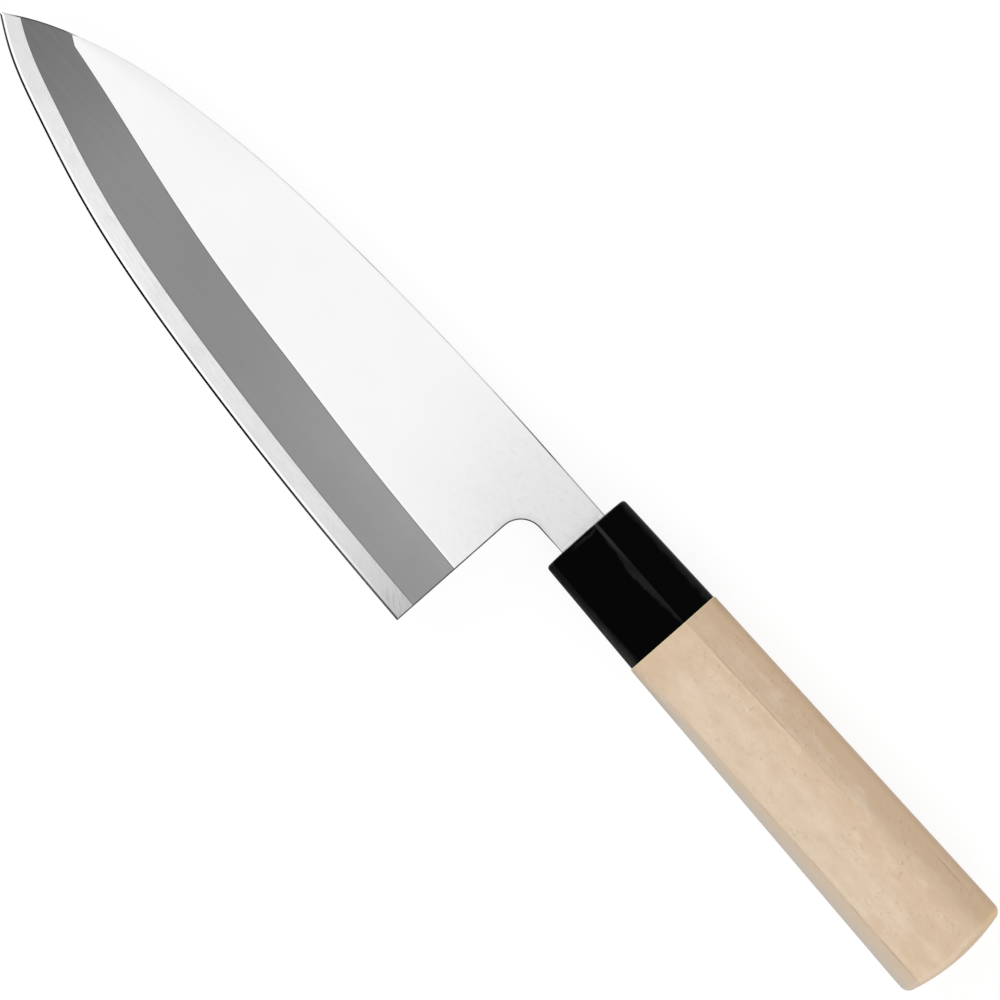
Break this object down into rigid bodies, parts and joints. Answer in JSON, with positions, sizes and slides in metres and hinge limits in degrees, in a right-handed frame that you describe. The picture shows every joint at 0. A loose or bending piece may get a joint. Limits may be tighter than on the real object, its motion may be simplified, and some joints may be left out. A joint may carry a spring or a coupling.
{
  "type": "deba knife",
  "caption": "Heavy single-bevel fish knife with a wide pointed blade, a hidden tang, a glossy black ferrule and a pale wooden D-shaped handle.",
  "frame": {"origin": "centre of the underside of the whole knife's box, on the surface that the knife lies on", "axes": "+X along the knife from the tip to the butt, +Y towards the spine, +Z out of the bevelled side, which faces up"},
  "size_m": [0.334, 0.0646, 0.0243],
  "materials": {
    "blade_steel": "satin flat, smooth grey bevel, finely scratched strip along the edge",
    "ferrule_black": "glossy black",
    "grip_wood": "plain pale wood, sanded, with fine pores",
    "bedding_resin": "cured amber resin"
  },
  "bodies": {
    "root": {"blade": "blade_steel", "ferrule": "ferrule_black", "grip": "grip_wood", "tang_bedding": "bedding_resin"}
  },
  "joints": []
}
